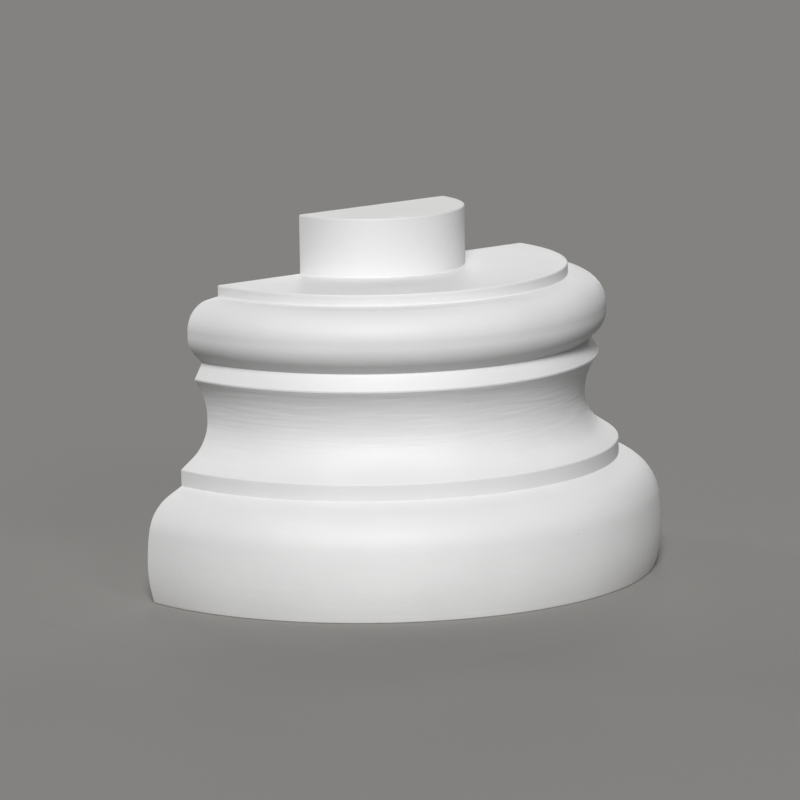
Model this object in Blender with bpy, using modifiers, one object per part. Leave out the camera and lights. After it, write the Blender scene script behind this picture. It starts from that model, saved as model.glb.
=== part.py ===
"""Half-round column base, moulded in one piece with the locating spigot on top of it.

Sizes are in metres and angles in degrees, with +Z up. The flat back lies in the wall plane y = 0 and the round
front faces -Y. The origin is on the column's axis, where the wall meets the surface that the base stands on.
"""

import math

import bmesh
import bpy

# Fineness of the facets
TURN_STEPS = 48
CURVE_STEPS = 9
BELLY_STEPS = 8
FOOT_STEPS = 9

# Spigot that locates the hollow shaft, and the seat that the shaft stands on
SPIGOT_RADIUS = 0.0565
SPIGOT_HEIGHT = 0.0359
SEAT_RADIUS = 0.1188
SEAT_RIM_HEIGHT = 0.0067

# Upper torus, from the foot of the seat's rim down to the neck, with a short upright flank between its arcs
UPPER_TORUS_HEIGHT = 0.0384
UPPER_TORUS_UNDER_HEIGHT = 0.0162
UPPER_TORUS_FLANK_HEIGHT = 0.0037
UPPER_TORUS_PROJECTION = 0.0232
UPPER_TORUS_TOP_LEAN = 82.0
UPPER_TORUS_UNDER_LEAN = 47.0
NECK_DEPTH = 0.0104

# Lip between the neck and the scotia: a sloping face over a narrow upright edge
LIP_SLOPE_HEIGHT = 0.0093
LIP_EDGE_HEIGHT = 0.0010
LIP_PROJECTION = 0.0056

# Scotia, the hollow moulding, with its deepest line at the throat
SCOTIA_HEIGHT = 0.0524
SCOTIA_THROAT_ABOVE_FILLET = 0.0279
SCOTIA_DEPTH = 0.0087
SCOTIA_BOTTOM_LEAN = 56.0

# Upright fillet between the scotia and the lower torus
FILLET_HEIGHT = 0.0098
FILLET_PROJECTION = 0.0204

# Lower torus: a ramp, a round shoulder, a slightly swelled belly and a foot that draws in
LOWER_TORUS_HEIGHT = 0.0682
LOWER_TORUS_PROJECTION = 0.0261
LOWER_TORUS_RAMP_LEAN = 64.0
BELLY_HEIGHT = 0.0182
BELLY_LEAN = 9.4
WIDEST_ABOVE_UNDERSIDE = 0.0253
FOOT_SETBACK = 0.0043

# Joins vertices of the turned shape that meet on the axis
MERGE_DISTANCE = 0.00001

# Edges that turn more than this stay crisp
CREASE_ANGLE = 25.0

# Matt white primer
WHITE_PRIMER = (0.80, 0.80, 0.78, 1.0)
PRIMER_ROUGHNESS = 0.62

PART_NAME = "half_column_base"


def clear_scene():
    """Removes whatever the scene holds."""
    for existing in list(bpy.data.objects):
        bpy.data.objects.remove(existing, do_unlink=True)


def arc_points(start, towards, radius, first_lean, last_lean, steps):
    """Points after start along an arc whose tangent leans from upright by first_lean, then by last_lean.

    towards gives the signs of the arc's run: (outwards or inwards, up or down).
    """
    first = math.radians(first_lean)
    sweep = math.radians(last_lean - first_lean)
    points = []
    for step in range(1, steps + 1):
        lean = first + sweep * step / steps
        across = radius * (math.cos(first) - math.cos(lean))
        along = radius * (math.sin(lean) - math.sin(first))
        points.append((start[0] + towards[0] * across, start[1] + towards[1] * along))
    return points


def box_to(start, end):
    """Signs, width and height of the step from one profile point to another."""
    across = end[0] - start[0]
    along = end[1] - start[1]
    towards = (math.copysign(1.0, across), math.copysign(1.0, along))
    return towards, abs(across), abs(along)


def arc_then_ramp(start, end, end_lean, first_lean=0.0):
    """An arc that leaves start leaning first_lean, then a straight ramp that touches it and reaches end."""
    towards, width, height = box_to(start, end)
    lean = math.radians(end_lean)
    turned = 1.0 - math.cos(math.radians(end_lean - first_lean))
    radius = (height * math.sin(lean) - width * math.cos(lean)) / turned
    return arc_points(start, towards, radius, first_lean, end_lean, CURVE_STEPS) + [end]


def upright_arc(start, end, steps):
    """One arc that leaves start upright and ends at end."""
    towards, width, height = box_to(start, end)
    radius = (width ** 2 + height ** 2) / (2.0 * width)
    end_lean = math.degrees(2.0 * math.atan2(width, height))
    return arc_points(start, towards, radius, 0.0, end_lean, steps)[:-1] + [end]


def upper_torus(rim_foot, neck):
    """Profile of the upper torus, from the foot of the seat's rim down to the neck."""
    flank_foot = (rim_foot[0] + UPPER_TORUS_PROJECTION, neck[1] + UPPER_TORUS_UNDER_HEIGHT)
    flank_top = (flank_foot[0], flank_foot[1] + UPPER_TORUS_FLANK_HEIGHT)
    top_half = arc_then_ramp(flank_top, rim_foot, UPPER_TORUS_TOP_LEAN)
    return top_half[::-1] + [flank_top, flank_foot] + arc_then_ramp(flank_foot, neck, UPPER_TORUS_UNDER_LEAN)


def scotia(lip_foot, fillet_top):
    """Profile of the hollow moulding, from under the lip down to the top of the fillet."""
    throat = (lip_foot[0] - SCOTIA_DEPTH, fillet_top[1] + SCOTIA_THROAT_ABOVE_FILLET)
    top_half = upright_arc(throat, lip_foot, CURVE_STEPS)
    return top_half[::-1] + [throat] + arc_then_ramp(throat, fillet_top, SCOTIA_BOTTOM_LEAN)


def lower_torus(fillet_foot):
    """Profile of the lower torus, from the foot of the fillet down to the underside."""
    widest = (fillet_foot[0] + LOWER_TORUS_PROJECTION, WIDEST_ABOVE_UNDERSIDE)
    belly_radius = BELLY_HEIGHT / math.sin(math.radians(BELLY_LEAN))
    belly = arc_points(widest, (-1.0, 1.0), belly_radius, 0.0, BELLY_LEAN, BELLY_STEPS)
    shoulder = arc_then_ramp(belly[-1], fillet_foot, LOWER_TORUS_RAMP_LEAN, BELLY_LEAN)
    foot = (widest[0] - FOOT_SETBACK, 0.0)
    return shoulder[::-1] + belly[::-1] + [widest] + upright_arc(widest, foot, FOOT_STEPS)


def base_profile():
    """The whole profile as (radius, height), from the middle of the spigot's top to that of the underside."""
    fillet_foot_height = LOWER_TORUS_HEIGHT
    fillet_top_height = fillet_foot_height + FILLET_HEIGHT
    lip_foot_height = fillet_top_height + SCOTIA_HEIGHT
    lip_top_height = lip_foot_height + LIP_EDGE_HEIGHT
    neck_height = lip_top_height + LIP_SLOPE_HEIGHT
    rim_foot_height = neck_height + UPPER_TORUS_HEIGHT
    seat_height = rim_foot_height + SEAT_RIM_HEIGHT
    spigot_top_height = seat_height + SPIGOT_HEIGHT

    neck_radius = SEAT_RADIUS + UPPER_TORUS_PROJECTION - NECK_DEPTH
    lip_radius = neck_radius + LIP_PROJECTION
    fillet_radius = lip_radius - SCOTIA_DEPTH + FILLET_PROJECTION

    rim_foot = (SEAT_RADIUS, rim_foot_height)
    neck = (neck_radius, neck_height)
    lip_foot = (lip_radius, lip_foot_height)
    fillet_top = (fillet_radius, fillet_top_height)
    fillet_foot = (fillet_radius, fillet_foot_height)

    profile = [(0.0, spigot_top_height), (SPIGOT_RADIUS, spigot_top_height), (SPIGOT_RADIUS, seat_height)]
    profile += [(SEAT_RADIUS, seat_height)]
    profile += upper_torus(rim_foot, neck)
    profile += [(lip_radius, lip_top_height)]
    profile += scotia(lip_foot, fillet_top)
    profile += lower_torus(fillet_foot)
    profile += [(0.0, 0.0)]
    return profile


def turned_half(name, profile, collection):
    """The profile, drawn at the left end of the wall side, and swept half a turn round the front."""
    mesh = bpy.data.meshes.new(name)
    corners = [(-radius, 0.0, height) for radius, height in profile]
    edges = [(index, index + 1) for index in range(len(corners) - 1)]
    mesh.from_pydata(corners, edges, [])
    half = bpy.data.objects.new(name, mesh)
    collection.objects.link(half)
    screw = half.modifiers.new("half turn", "SCREW")
    screw.axis = "Z"
    screw.angle = math.pi
    screw.steps = TURN_STEPS
    screw.render_steps = TURN_STEPS
    screw.use_merge_vertices = True
    screw.merge_threshold = MERGE_DISTANCE
    return half


def close_back(half):
    """Applies the sweep and closes the open wall side with one flat face."""
    evaluated = half.evaluated_get(bpy.context.evaluated_depsgraph_get())
    mesh = bpy.data.meshes.new_from_object(evaluated)
    half.modifiers.clear()
    shell = bmesh.new()
    shell.from_mesh(mesh)
    rim = [edge for edge in shell.edges if edge.is_boundary]
    for corner in {corner for edge in rim for corner in edge.verts}:
        corner.co.y = 0.0
    bmesh.ops.holes_fill(shell, edges=rim, sides=0)
    bmesh.ops.recalc_face_normals(shell, faces=shell.faces[:])
    shell.to_mesh(mesh)
    shell.free()
    mesh.name = half.name
    drawn_profile = half.data
    half.data = mesh
    bpy.data.meshes.remove(drawn_profile)


def finish_surface(part):
    """Smooth curves with crisp arrises, in matt white primer."""
    part.data.shade_smooth()
    part.data.set_sharp_from_angle(angle=math.radians(CREASE_ANGLE))
    primer = bpy.data.materials.new("white_primer")
    primer.use_nodes = True
    shader = primer.node_tree.nodes["Principled BSDF"]
    shader.inputs["Base Color"].default_value = WHITE_PRIMER
    shader.inputs["Roughness"].default_value = PRIMER_ROUGHNESS
    shader.inputs["Metallic"].default_value = 0.0
    part.data.materials.append(primer)


def main():
    clear_scene()
    collection = bpy.data.collections.new(PART_NAME)
    bpy.context.scene.collection.children.link(collection)
    base = turned_half(PART_NAME, base_profile(), collection)
    close_back(base)
    finish_surface(base)


main()
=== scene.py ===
"""Looks of the half-round column base: its finished surface, the floor, the light and the camera."""

import math

import bmesh
import bpy
from mathutils import Euler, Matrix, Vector, noise


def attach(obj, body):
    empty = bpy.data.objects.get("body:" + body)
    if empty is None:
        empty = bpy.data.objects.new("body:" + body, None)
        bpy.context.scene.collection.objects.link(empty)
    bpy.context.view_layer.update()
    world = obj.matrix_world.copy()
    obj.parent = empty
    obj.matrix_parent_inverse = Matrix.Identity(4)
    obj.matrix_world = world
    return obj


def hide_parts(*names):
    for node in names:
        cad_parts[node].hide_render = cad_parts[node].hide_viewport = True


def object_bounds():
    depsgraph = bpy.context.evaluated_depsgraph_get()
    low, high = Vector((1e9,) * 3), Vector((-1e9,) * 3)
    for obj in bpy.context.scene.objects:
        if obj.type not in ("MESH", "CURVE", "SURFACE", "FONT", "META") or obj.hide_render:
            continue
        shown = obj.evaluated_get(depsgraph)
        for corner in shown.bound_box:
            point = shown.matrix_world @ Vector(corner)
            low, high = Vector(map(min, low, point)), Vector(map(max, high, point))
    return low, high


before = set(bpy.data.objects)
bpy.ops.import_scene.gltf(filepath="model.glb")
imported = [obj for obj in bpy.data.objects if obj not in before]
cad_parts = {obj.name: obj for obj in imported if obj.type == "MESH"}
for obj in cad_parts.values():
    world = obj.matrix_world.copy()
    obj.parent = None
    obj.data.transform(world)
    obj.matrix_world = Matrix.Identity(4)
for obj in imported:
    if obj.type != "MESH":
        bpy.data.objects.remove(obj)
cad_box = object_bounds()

BASE_NODE = "half_column_base"
BASE_PIECE = "moulded_base"
PRIMER_SLOT = "white_primer"

# Camera, as the photograph was taken: degrees round from the front and up from level, metres and millimetres
VIEW_AZIMUTH = -39.067
VIEW_ELEVATION = 10.452
VIEW_ROLL = -0.819
AIM_POINT = (-0.01626, -0.04461, 0.10925)
CAMERA_DISTANCE = 3.170
LENS_MM = 236.57
SENSOR_MM = 36.0
CLIP_END = 100.0

# Fineness of the finished surface, with steps in metres where they are lengths
TURN_STEPS = 256
CURVE_STEP = 0.0010
STRAIGHT_STEP = 0.0028
CORNER_STEPS = 5
EDGE_STEPS = 4

# How the solid is read: a turn of more than these degrees is a corner, a step that many times longer than its
# neighbour is a straight part, and a direction this near to an axis is level or faces straight back
CORNER_TURN = 20.0
STRAIGHT_RATIO = 2.0
PLANE_TOLERANCE = 0.000001
FLAT_NORMAL = 0.9999
BACK_NORMAL = 0.99

# Radii of the moulded corners, which are counted down the profile from the spigot's top edge
ARRIS_RADIUS = 0.0012
LIP_ARRIS_RADIUS = 0.0004
HOLLOW_CORNER_RADIUS = 0.00015
LIP_TOP_CORNER = 5
LIP_FOOT_CORNER = 6
FILLET_FOOT_CORNER = 8

# Worn edge all round the flat back: its radius, how much that varies, and over what length. Beside a tight
# arris the radius is held to a share of the arris's own, and grows again by a share of the distance from it
BACK_EDGE_RADIUS = 0.0006
WEAR_SHARE = 0.45
WEAR_LENGTH = 0.0060
EDGE_TIGHTNESS = 0.8
EDGE_FLARE = 0.6

# Unevenness of the primed surface, always inwards from the true form. It fades out where the surface is
# level, and the lip's and the fillet's lower corners are ragged
BROAD_LENGTH = 0.030
BROAD_DEPTH = 0.00010
BAND_LENGTH = 0.060
BAND_WIDTH = 0.0035
BAND_DEPTH = 0.00004
RAGGED_LENGTH = 0.0050
RAGGED_DEPTH = 0.00035
RAGGED_REACH = 0.0016
LEVEL_FADE_POWER = 6

# Colour and gloss of the primer, which vary softly over the surface
PRIMER_LIGHT = (0.805, 0.805, 0.805, 1.0)
PRIMER_SHADE = (0.775, 0.775, 0.775, 1.0)
PRIMER_ROUGHNESS = 0.58
GRAIN_ROUGHENING = 0.05
MOTTLE_ROUGHENING = 0.03
MOTTLE_SIZE = 0.045

# Kinds of noise
RICH_DETAIL = 3.0
PLAIN_DETAIL = 2.0
SOFT_DETAIL = 1.0
PLAIN_CONTRAST = 0.5

# Faint bands that run round the base
BAND_STRETCH = 0.012
BAND_SIZE = 0.0030
BAND_CONTRAST = 0.6
BAND_TINT = 0.5
BAND_HEIGHT = 0.00003

# Streaks in the hollow moulding, from just under the lip down to where they have faded out
STREAK_SIZE = 0.0030
STREAK_HEIGHT = 0.00026
STREAK_FADE = 0.020
HOLLOW_START = 0.002
HOLLOW_DEPTH = 0.050

# Fine relief of the sprayed primer
PEEL_SIZE = 0.0016
PEEL_HEIGHT = 0.00006
GRAIN_SIZE = 0.00035
GRAIN_HEIGHT = 0.000012

# Stray specks of dirt
SPECK_SPACING = 0.014
SPECK_SHARE = 0.02
SPECK_RADIUS = 0.0005
SPECK_CORE_SHARE = 1 / 3
SPECK_TINT = 0.6
SPECK_COLOUR = (0.30, 0.29, 0.27, 1.0)

# Painted shade on the spigot's top face: its colour is darkened to stand in for the dimmer light there
SPIGOT_TOP_PAINTED_SHADE = (0.715, 0.715, 0.708, 1.0)
SPIGOT_TOP_SHADE_DEPTH = 0.0006
SPIGOT_TOP_SHADE_FULL_DEPTH = 0.0002

# Bare foam that shows through on the flat back, the underside and the worn edges
BARE_FOAM = (0.70, 0.66, 0.57, 1.0)
BACK_DEPTH = 0.0008
BACK_FULL_DEPTH = 0.0002
THIN_PRIMER = 0.30
BACK_ROUGHENING = 0.18
WORN_WIDTH = 0.0022
WORN_SIZE = 0.0035
WORN_TINT = 0.25
PORE_SPACING = 0.0022
PORE_RADIUS = 0.0006
PORE_FLOOR_SHARE = 0.4
PORE_DEPTH = 0.00025
# The pores' colour is painted shade, a darker copy of the bare foam in each pore
PORE_SHADE_TINT = 0.45
PORE_PAINTED_SHADE = (0.42, 0.39, 0.33, 1.0)
PLANING_STRETCH = 0.04
PLANING_SIZE = 0.0016
PLANING_HEIGHT = 0.00008

# Parts of the noises' range over which each effect comes in
MOTTLE_RANGE = (0.3, 0.7)
BAND_RANGE = (0.35, 0.75)
ROUGH_RANGE = (0.2, 0.8)
WORN_RANGE = (0.52, 0.66)

# Floor and surroundings
FLOOR_COLOUR = (0.289, 0.281, 0.271, 1.0)
FAR_FLOOR_HALF = 30.0
NEAR_FLOOR_HALF = 0.25
FAR_FLOOR_DROP = 0.0001
NEAR_FLOOR_DROP = 0.00005
FLOOR_ROUGHNESS = 0.9
SURROUNDINGS_COLOUR = (0.231, 0.224, 0.216, 1.0)

# Studio lamps: degrees round from the front, degrees up, watts for each square metre and degrees wide
LAMPS = {
    "key": (-39.0, 36.0, 2.10, 15.0),
    "key_high": (-39.0, 43.0, 0.89, 15.0),
    "right_fill": (-9.0, 30.0, 0.31, 15.0),
    "left_back": (-169.0, 8.0, 0.80, 15.0),
    "left_high_back": (166.0, 20.0, 0.16, 15.0),
    "high_back": (141.0, 43.0, 0.22, 15.0),
    "low_back": (141.0, 22.0, 0.23, 15.0),
    "right_back": (114.0, 28.0, 0.18, 15.0),
    "rim": (129.0, 3.0, 0.14, 8.0),
}


def outline_edges(shell):
    """Edges of the flat back's outline on its left half, as pairs of (radius, height)."""
    pairs = []
    for edge in shell.edges:
        on_back = [face.normal.y > BACK_NORMAL for face in edge.link_faces]
        on_left = all(corner.co.x < PLANE_TOLERANCE for corner in edge.verts)
        if sorted(on_back) == [False, True] and on_left:
            pairs.append([(max(-corner.co.x, 0.0), corner.co.z) for corner in edge.verts])
    return pairs


def cad_profile():
    """The base's profile from its solid, as (radius, height) from the top's middle to the underside's."""
    shell = bmesh.new()
    shell.from_mesh(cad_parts[BASE_NODE].data)
    bmesh.ops.remove_doubles(shell, verts=shell.verts[:], dist=PLANE_TOLERANCE)
    shell.normal_update()
    neighbours = {}
    for first, second in outline_edges(shell):
        neighbours.setdefault(first, []).append(second)
        neighbours.setdefault(second, []).append(first)
    shell.free()
    profile = [max(neighbours, key=lambda point: (point[1], -len(neighbours[point])))]
    while True:
        onward = [point for point in neighbours[profile[-1]] if point not in profile[-2:]]
        if not onward:
            break
        profile.append(onward[0])
    top, underside = profile[0][1], profile[-1][1]
    return [Vector((0.0, top))] + [Vector(point) for point in profile] + [Vector((0.0, underside))]


def split_at_corners(profile):
    """The profile as runs that start and end at its corners."""
    runs = [[profile[0]]]
    for before, here, after in zip(profile, profile[1:], profile[2:]):
        runs[-1].append(here)
        if math.degrees((here - before).angle(after - here)) > CORNER_TURN:
            runs.append([here])
    runs[-1].append(profile[-1])
    return runs


def circle_tangent(before, here, after):
    """Direction at here of the circle through three points."""
    back, ahead = here - before, after - here
    return (back * (ahead.length / back.length) + ahead * (back.length / ahead.length)).normalized()


def run_tangents(run):
    """Direction at each point of a run, along its straight parts where it has them."""
    steps = [after - before for before, after in zip(run, run[1:])]
    straight = []
    for index, step in enumerate(steps):
        others = [steps[near].length for near in (index - 1, index + 1) if 0 <= near < len(steps)]
        straight.append(not others or step.length > STRAIGHT_RATIO * min(others))
    tangents = [None] * len(run)
    for index in range(1, len(run) - 1):
        tangents[index] = circle_tangent(run[index - 1], run[index], run[index + 1])
    for index, step in enumerate(steps):
        if straight[index]:
            tangents[index] = tangents[index + 1] = step.normalized()
    if tangents[0] is None:
        tangents[0] = -tangents[1].reflect(steps[0].normalized().orthogonal())
    if tangents[-1] is None:
        tangents[-1] = -tangents[-2].reflect(steps[-1].normalized().orthogonal())
    return tangents, straight


def smooth_run(run):
    """The run with its arcs drawn finely, through the same points."""
    tangents, straight = run_tangents(run)
    points = [run[0]]
    for index, (start, end) in enumerate(zip(run, run[1:])):
        span = (end - start).length
        count = 1 if straight[index] else max(1, round(span / CURVE_STEP))
        for step in range(1, count + 1):
            t = step / count
            start_weight = 2 * t ** 3 - 3 * t ** 2 + 1
            lead = (t ** 3 - 2 * t ** 2 + t) * span
            tail = (t ** 3 - t ** 2) * span
            points.append(start * start_weight + end * (1 - start_weight) + tangents[index] * lead
                          + tangents[index + 1] * tail)
    return points


def trim_start(points, length):
    """The points without the first stretch of that length."""
    for index, (start, end) in enumerate(zip(points, points[1:])):
        step = (end - start).length
        if step > length:
            return [start.lerp(end, length / step)] + points[index + 1:]
        length -= step
    return points[-1:]


def trim_end(points, length):
    """The points without the last stretch of that length."""
    return trim_start(points[::-1], length)[::-1]


def corner_radius(number, convex):
    """Radius of the moulded corner with that number, counted down from the spigot's top edge."""
    if number in (LIP_TOP_CORNER, LIP_FOOT_CORNER):
        return LIP_ARRIS_RADIUS
    return ARRIS_RADIUS if convex else HOLLOW_CORNER_RADIUS


def rounded_profile():
    """The fine profile, with a small radius at every arris and in every inner corner."""
    runs = [smooth_run(run) for run in split_at_corners(cad_profile())]
    for index, (upper, lower) in enumerate(zip(runs, runs[1:])):
        corner = lower[0]
        arriving = (corner - upper[-2]).normalized()
        leaving = (lower[1] - corner).normalized()
        convex = arriving.cross(leaving) < 0
        radius = corner_radius(index, convex)
        reach = radius * math.tan(arriving.angle(leaving) / 2)
        upper = trim_end(upper, reach)
        lower = trim_start(lower, reach)
        start, end = upper[-1], lower[0]
        for step in range(1, CORNER_STEPS):
            t = step / CORNER_STEPS
            upper.append(start.lerp(corner, t).lerp(corner.lerp(end, t), t))
        runs[index], runs[index + 1] = upper, lower
    widest = max(point.x for point in cad_profile())
    return [Vector((min(point.x, widest), point.y)) for run in runs for point in run]


def finely_stepped(profile):
    """The profile with points along its straight parts too."""
    points = [profile[0]]
    for here, after in zip(profile, profile[1:]):
        count = max(1, math.ceil((after - here).length / STRAIGHT_STEP))
        points += [here.lerp(after, step / count) for step in range(1, count + 1)]
    return points


def stations(profile):
    """Distance of each point along the profile."""
    distances = [0.0]
    for here, after in zip(profile, profile[1:]):
        distances.append(distances[-1] + (after - here).length)
    return distances


def profile_normals(profile):
    """Outward direction at each point of the profile."""
    normals = []
    for before, here, after in zip(profile[:1] + profile, profile, profile[1:] + profile[-1:]):
        along = (after - here).normalized() + (here - before).normalized()
        normals.append(Vector((-along.y, along.x)).normalized())
    return normals


def back_edge_radii(profile):
    """Radius of the worn edge where each point of the profile meets the back, less beside a tight arris."""
    places = stations(profile)
    limits = []
    for index in range(1, len(profile) - 1):
        arriving = profile[index] - profile[index - 1]
        leaving = profile[index + 1] - profile[index]
        turn = arriving.angle(leaving)
        if arriving.cross(leaving) < 0 < turn:
            limits.append((places[index], EDGE_TIGHTNESS * (arriving.length + leaving.length) / 2 / turn))
    radii = []
    for place in places:
        wear = noise.noise(Vector((place / WEAR_LENGTH, 0.0, 0.0)))
        near = [limit + EDGE_FLARE * abs(place - tight) for tight, limit in limits]
        radii.append(min([BACK_EDGE_RADIUS * (1 + WEAR_SHARE * wear)] + near))
    return radii


def corner_point(number):
    """Place of the corner with that number as (radius, height)."""
    return split_at_corners(cad_profile())[number + 1][0]


def ragged_nearness(profile):
    """How near each point is to the lip's or the fillet's lower corner, from 0 out of reach to 1 on it."""
    corners = [corner_point(LIP_FOOT_CORNER), corner_point(FILLET_FOOT_CORNER)]
    distances = [min((point - corner).length for corner in corners) for point in profile]
    return [max(0.0, 1 - distance / RAGGED_REACH) for distance in distances]


class TurnedForm:
    """The base's fine profile, with what goes with each of its points."""

    def __init__(self):
        self.points = finely_stepped(rounded_profile())
        self.normals = profile_normals(self.points)
        self.edge_radii = back_edge_radii(self.points)
        self.raggedness = ragged_nearness(self.points)
        self.first = min(index for index, normal in enumerate(self.normals) if normal.y < FLAT_NORMAL) - 1
        self.last = max(index for index, normal in enumerate(self.normals) if normal.y > -FLAT_NORMAL) + 1

    def is_turned(self, index):
        """Whether that point is on the turned surface, not inside the flat top or underside."""
        return self.first <= index <= self.last

    def sunk_depth(self, index, turn):
        """How far the surface at that point is inside the true form, at that turn from the left end."""
        point, normal = self.points[index], self.normals[index]
        around = turn * point.x
        broad = noise.noise(Vector((around, point.x, point.y)) / BROAD_LENGTH)
        bands = noise.noise(Vector((around / BAND_LENGTH, point.x / BAND_WIDTH, point.y / BAND_WIDTH)))
        ragged = max(0.0, noise.noise(Vector((around / RAGGED_LENGTH, 0.0, 0.0))))
        depth = BROAD_DEPTH * (1 + broad) / 2 + BAND_DEPTH * (1 + bands) / 2
        depth += RAGGED_DEPTH * self.raggedness[index] * ragged
        return depth * (1 - normal.y ** LEVEL_FADE_POWER)

    def edge_place(self, index, depth, step):
        """Place on the worn edge at the right end, at a step round from the turned surface to the back."""
        point, normal, radius = self.points[index], self.normals[index], self.edge_radii[index]
        reach = point.x if self.is_turned(index) else max(point.x, self.points[self.first].x)
        lean = math.pi / 2 * step / EDGE_STEPS
        ahead = radius * (1 - math.sin(lean))
        sunk = depth + radius * (1 - math.cos(lean))
        across = point.x * math.sqrt(1 - (ahead / reach) ** 2) - sunk * normal.x
        return Vector((across, -ahead, point.y - sunk * normal.y))

    def front_place(self, index, depth, share):
        """Place on the turned surface, at that share of the way from the left worn edge to the right one."""
        point, normal = self.points[index], self.normals[index]
        start = math.asin(self.edge_radii[index] / point.x)
        turn = start + (math.pi - 2 * start) * share
        radius = point.x - depth * normal.x
        return Vector((-radius * math.cos(turn), -radius * math.sin(turn), point.y - depth * normal.y))


def quad_strips(shell, rows):
    """Faces between the neighbouring rows of vertices."""
    for row, after in zip(rows, rows[1:]):
        for here in range(len(row) - 1):
            corners = [row[here], row[here + 1], after[here + 1], after[here]]
            shell.faces.new(list(dict.fromkeys(corners)))


def edge_row(shell, form, index, side, turn):
    """Vertices round the worn edge beside one point, at the left end (side -1) or the right one (side 1)."""
    depth = form.sunk_depth(index, turn) if form.is_turned(index) else 0.0
    places = [form.edge_place(index, depth, step) for step in range(EDGE_STEPS + 1)]
    return [shell.verts.new((side * place.x, place.y, place.z)) for place in places]


def worn_edges(shell, form):
    """The worn edge's rows of vertices down the left end and the right, which share those on the axis."""
    end = len(form.points) - 1
    left = [edge_row(shell, form, index, -1, 0.0) for index in range(end + 1)]
    quad_strips(shell, left)
    right = [edge_row(shell, form, index, 1, math.pi) for index in range(1, end)]
    right = [left[0]] + right + [left[end]]
    quad_strips(shell, right)
    return left, right


def turned_front(shell, form, left, right):
    """The turned front's rings of vertices, from one worn edge to the other, with faces between them."""
    turned = range(form.first, form.last + 1)
    rings = [[left[index][0] for index in turned]]
    for step in range(1, TURN_STEPS):
        share = step / TURN_STEPS
        ring = []
        for index in turned:
            depth = form.sunk_depth(index, math.pi * share)
            ring.append(shell.verts.new(form.front_place(index, depth, share)))
        rings.append(ring)
    rings.append([right[index][0] for index in turned])
    quad_strips(shell, rings)
    return rings


def flat_sides(shell, form, left, right, rings):
    """The flat top, underside and back."""
    top = [ring[0] for ring in rings]
    top += [row[0] for row in right[:form.first][::-1] + left[1:form.first]]
    underside = [ring[-1] for ring in rings]
    underside += [row[0] for row in right[form.last + 1:] + left[form.last + 1:-1][::-1]]
    back = [row[-1] for row in left + right[1:-1][::-1]]
    for corners in (top, underside, back):
        shell.faces.new(corners)


def base_shell():
    """The base's finished surface as a closed shell: turned front, worn back edge and three flat faces."""
    form = TurnedForm()
    shell = bmesh.new()
    left, right = worn_edges(shell, form)
    rings = turned_front(shell, form, left, right)
    flat_sides(shell, form, left, right, rings)
    bmesh.ops.recalc_face_normals(shell, faces=shell.faces[:])
    return shell


def finished_base():
    """The piece that stands for the base, smooth, with its three flat faces kept flat."""
    shell = base_shell()
    mesh = bpy.data.meshes.new(BASE_PIECE)
    shell.to_mesh(mesh)
    shell.free()
    mesh.shade_smooth()
    base = bpy.data.objects.new(BASE_PIECE, mesh)
    bpy.context.scene.collection.objects.link(base)
    base.modifiers.new("flat faces stay flat", "WEIGHTED_NORMAL")
    return base


class Nodes:
    """A material's node tree, with short ways to add to it."""

    def __init__(self, name):
        self.material = bpy.data.materials.new(name)
        self.material.use_nodes = True
        self.tree = self.material.node_tree
        self.shader = self.tree.nodes["Principled BSDF"]

    def link(self, source, target):
        """Links a socket, or sets a plain value, to the target socket."""
        if isinstance(source, bpy.types.NodeSocket):
            self.tree.links.new(source, target)
        else:
            target.default_value = source

    def added(self, kind, *sources):
        """A new node of that kind, with its first inputs linked or set."""
        node = self.tree.nodes.new(kind)
        for source, target in zip(sources, node.inputs):
            self.link(source, target)
        return node

    def math(self, operation, first, second=0.0):
        """Result of an operation on two numbers."""
        node = self.added("ShaderNodeMath", first, second)
        node.operation = operation
        return node.outputs[0]

    def times(self, first, second):
        """Product of two numbers."""
        return self.math("MULTIPLY", first, second)

    def between(self, value, low, high, to_low=0.0, to_high=1.0):
        """The value mapped smoothly from one range to another."""
        node = self.added("ShaderNodeMapRange", value, low, high, to_low, to_high)
        node.interpolation_type = "SMOOTHSTEP"
        return node.outputs["Result"]

    def noise(self, place, size, detail=PLAIN_DETAIL, contrast=PLAIN_CONTRAST):
        """Soft noise whose patches are about that many metres across."""
        node = self.added("ShaderNodeTexNoise", place)
        node.inputs["Scale"].default_value = 1 / size
        node.inputs["Detail"].default_value = detail
        node.inputs["Roughness"].default_value = contrast
        return node.outputs["Fac"]

    def cells(self, place, size):
        """Distance from the middle of scattered cells, in metres, and a random number for each cell."""
        node = self.added("ShaderNodeTexVoronoi", place)
        node.inputs["Scale"].default_value = 1 / size
        split = self.added("ShaderNodeSeparateColor", node.outputs["Color"])
        return self.times(node.outputs["Distance"], size), split.outputs[0]

    def mix(self, share, first, second):
        """Colour between two colours."""
        node = self.added("ShaderNodeMix", share)
        node.data_type = "RGBA"
        colours = [socket for socket in node.inputs if socket.type == "RGBA"]
        for source, target in zip((first, second), colours):
            self.link(source, target)
        return next(socket for socket in node.outputs if socket.type == "RGBA")

    def bump(self, height, depth, onto=None):
        """Normal of a surface raised by height, from 0 to 1, times depth in metres."""
        node = self.tree.nodes.new("ShaderNodeBump")
        node.inputs["Strength"].default_value = 1.0
        node.inputs["Distance"].default_value = depth
        self.link(height, node.inputs["Height"])
        if onto is not None:
            self.link(onto, node.inputs["Normal"])
        return node.outputs["Normal"]


def wound_place(nodes, across, ahead, height):
    """Place counted round the column's axis, so that what follows it runs round the base."""
    radius = nodes.math("SQRT", nodes.math("ADD", nodes.times(across, across), nodes.times(ahead, ahead)))
    turn = nodes.math("ARCTAN2", across, nodes.times(ahead, -1.0))
    wound = nodes.added("ShaderNodeCombineXYZ", nodes.times(turn, BAND_STRETCH), radius, height)
    return wound.outputs[0]


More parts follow.
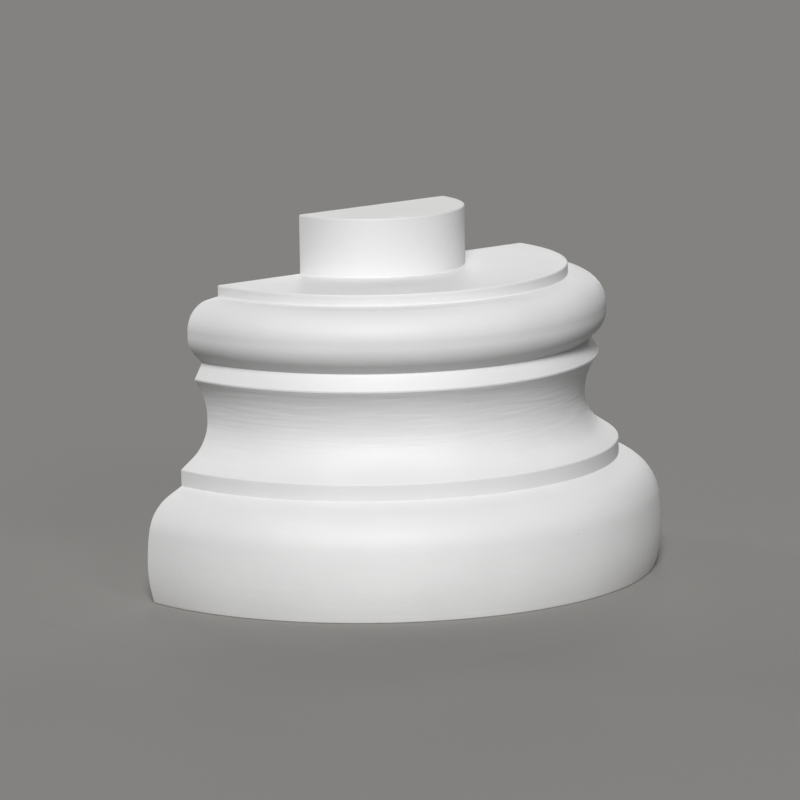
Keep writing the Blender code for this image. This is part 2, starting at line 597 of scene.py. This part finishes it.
def streaks_under_lip(nodes, wound, height):
    """Faint streaks round the hollow moulding, which start under the lip and fade out lower down."""
    lip_foot = corner_point(LIP_FOOT_CORNER).y
    below_lip = nodes.between(height, lip_foot, lip_foot - HOLLOW_START)
    foot = lip_foot - HOLLOW_DEPTH
    above_foot = nodes.between(height, foot, foot + STREAK_FADE)
    return nodes.times(nodes.noise(wound, STREAK_SIZE, SOFT_DETAIL), nodes.times(below_lip, above_foot))


def on_hidden_sides(nodes, ahead, height):
    """1 on the flat back and the underside, 0 elsewhere."""
    on_back = nodes.between(ahead, -BACK_DEPTH, -BACK_FULL_DEPTH)
    on_underside = nodes.between(height, BACK_DEPTH, BACK_FULL_DEPTH)
    return nodes.math("MAXIMUM", on_back, on_underside)


def worn_patches(nodes, place, ahead):
    """Patches beside the back where the primer has worn."""
    beside_back = nodes.between(ahead, -WORN_WIDTH, 0.0)
    patches = nodes.between(nodes.noise(place, WORN_SIZE, RICH_DETAIL), *WORN_RANGE)
    return nodes.times(beside_back, patches)


def foam_pores(nodes, place):
    """Scattered fine pores of many sizes."""
    distance, kind = nodes.cells(place, PORE_SPACING)
    radius = nodes.times(kind, PORE_RADIUS)
    return nodes.between(distance, radius, nodes.times(radius, PORE_FLOOR_SHARE))


def planing_marks(nodes, place):
    """Fine marks of the blade that planed the flat sides."""
    planed = nodes.added("ShaderNodeVectorMath", place, (PLANING_STRETCH, PLANING_STRETCH, 1.0))
    planed.operation = "MULTIPLY"
    return nodes.noise(planed.outputs[0], PLANING_SIZE, RICH_DETAIL)


def stray_specks(nodes, place):
    """A few small specks of dirt."""
    distance, kind = nodes.cells(place, SPECK_SPACING)
    chosen = nodes.math("GREATER_THAN", kind, 1 - SPECK_SHARE)
    return nodes.times(nodes.between(distance, SPECK_RADIUS, SPECK_RADIUS * SPECK_CORE_SHARE), chosen)


def primer_roughness(nodes, broad, grain, hidden):
    """Roughness that varies a little with the grain and the mottling, and is higher on the hidden sides."""
    low, high = PRIMER_ROUGHNESS - GRAIN_ROUGHENING, PRIMER_ROUGHNESS + GRAIN_ROUGHENING
    rough = nodes.between(grain, *ROUGH_RANGE, low, high)
    mottled = nodes.between(broad, *ROUGH_RANGE, -MOTTLE_ROUGHENING, MOTTLE_ROUGHENING)
    rough = nodes.math("ADD", rough, mottled)
    return nodes.math("ADD", rough, nodes.times(hidden, BACK_ROUGHENING))


def primer_material(top):
    """Matt white primer: mottled, banded, streaked under the lip, specked, worn at the back edge."""
    nodes = Nodes(PRIMER_SLOT)
    place = nodes.added("ShaderNodeTexCoord").outputs["Object"]
    across, ahead, height = nodes.added("ShaderNodeSeparateXYZ", place).outputs
    wound = wound_place(nodes, across, ahead, height)

    broad = nodes.noise(place, MOTTLE_SIZE, RICH_DETAIL)
    bands = nodes.noise(wound, BAND_SIZE, RICH_DETAIL, BAND_CONTRAST)
    streaks = streaks_under_lip(nodes, wound, height)
    peel = nodes.noise(place, PEEL_SIZE)
    grain = nodes.noise(place, GRAIN_SIZE)
    hidden = on_hidden_sides(nodes, ahead, height)
    back_pores = nodes.times(foam_pores(nodes, place), hidden)
    planing = nodes.times(planing_marks(nodes, place), hidden)
    worn = worn_patches(nodes, place, ahead)
    specks = stray_specks(nodes, place)

    colour = nodes.mix(nodes.between(broad, *MOTTLE_RANGE), PRIMER_SHADE, PRIMER_LIGHT)
    colour = nodes.mix(nodes.between(bands, *BAND_RANGE, 0.0, BAND_TINT), colour, PRIMER_SHADE)
    # Painted shade: the spigot's top face is darkened in colour
    colour = nodes.mix(nodes.between(height, top - SPIGOT_TOP_SHADE_DEPTH, top - SPIGOT_TOP_SHADE_FULL_DEPTH), colour, SPIGOT_TOP_PAINTED_SHADE)
    colour = nodes.mix(nodes.times(hidden, THIN_PRIMER), colour, BARE_FOAM)
    colour = nodes.mix(nodes.times(worn, WORN_TINT), colour, BARE_FOAM)
    # Painted shade in the pores of the flat back and the underside
    colour = nodes.mix(nodes.times(back_pores, PORE_SHADE_TINT), colour, PORE_PAINTED_SHADE)
    colour = nodes.mix(nodes.times(specks, SPECK_TINT), colour, SPECK_COLOUR)
    nodes.link(colour, nodes.shader.inputs["Base Color"])
    nodes.link(primer_roughness(nodes, broad, grain, hidden), nodes.shader.inputs["Roughness"])

    normal = nodes.bump(bands, BAND_HEIGHT)
    normal = nodes.bump(streaks, STREAK_HEIGHT, normal)
    normal = nodes.bump(peel, PEEL_HEIGHT, normal)
    normal = nodes.bump(grain, GRAIN_HEIGHT, normal)
    normal = nodes.bump(planing, PLANING_HEIGHT, normal)
    normal = nodes.bump(back_pores, -PORE_DEPTH, normal)
    nodes.link(normal, nodes.shader.inputs["Normal"])
    return nodes.material


def floor_material():
    """Plain pale matt floor."""
    nodes = Nodes("pale_floor")
    nodes.shader.inputs["Base Color"].default_value = FLOOR_COLOUR
    nodes.shader.inputs["Roughness"].default_value = FLOOR_ROUGHNESS
    nodes.shader.inputs["Specular IOR Level"].default_value = 0.0
    return nodes.material


def add_floor(name, half, drop, material, lights_object):
    """A level sheet of floor, which may or may not throw light up at what stands on it."""
    mesh = bpy.data.meshes.new(name)
    corners = [(-half, -half, 0), (half, -half, 0), (half, half, 0), (-half, half, 0)]
    mesh.from_pydata(corners, [], [(0, 1, 2, 3)])
    mesh.materials.append(material)
    floor = bpy.data.objects.new(name, mesh)
    floor.location.z = -drop
    floor.visible_diffuse = lights_object
    bpy.context.scene.collection.objects.link(floor)


def direction(azimuth, elevation):
    """Unit vector towards that azimuth, counted round from the front, and elevation."""
    level = math.cos(math.radians(elevation))
    return Vector((math.sin(math.radians(azimuth)) * level, -math.cos(math.radians(azimuth)) * level,
                   math.sin(math.radians(elevation))))


def add_camera():
    """Camera that sees the base as the photograph does."""
    back = direction(VIEW_AZIMUTH, VIEW_ELEVATION)
    data = bpy.data.cameras.new("camera")
    data.lens = LENS_MM
    data.sensor_width = SENSOR_MM
    data.clip_end = CLIP_END
    camera = bpy.data.objects.new("camera", data)
    camera.location = Vector(AIM_POINT) + back * CAMERA_DISTANCE
    level = back.to_track_quat("Z", "Y").to_matrix()
    roll = Euler((0.0, 0.0, math.radians(VIEW_ROLL))).to_matrix()
    camera.rotation_euler = (level @ roll).to_euler()
    bpy.context.scene.collection.objects.link(camera)
    bpy.context.scene.camera = camera


def add_lamp(name, azimuth, elevation, strength, width):
    """Soft distant lamp from that direction, its width in degrees and strength in watts a square metre."""
    lamp = bpy.data.lights.new(name, "SUN")
    lamp.energy = strength
    lamp.angle = math.radians(width)
    light = bpy.data.objects.new(name, lamp)
    light.rotation_euler = direction(azimuth, elevation).to_track_quat("Z", "Y").to_euler()
    bpy.context.scene.collection.objects.link(light)


def add_surroundings():
    """Even pale surroundings beyond the floor, which are seen but give no light."""
    world = bpy.data.worlds.new("studio")
    bpy.context.scene.world = world
    world.use_nodes = True
    world.node_tree.nodes["Background"].inputs["Color"].default_value = SURROUNDINGS_COLOUR
    world.cycles_visibility.diffuse = False


def main():
    base = finished_base()
    base.data.materials.append(primer_material(cad_box[1][2]))
    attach(base, "root")
    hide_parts(BASE_NODE)
    material = floor_material()
    add_floor("floor", FAR_FLOOR_HALF, FAR_FLOOR_DROP, material, False)
    add_floor("floor_near", NEAR_FLOOR_HALF, NEAR_FLOOR_DROP, material, True)
    for name, (azimuth, elevation, strength, width) in LAMPS.items():
        add_lamp(name, azimuth, elevation, strength, width)
    add_surroundings()
    add_camera()
    bpy.context.scene.view_settings.view_transform = "Standard"


main()
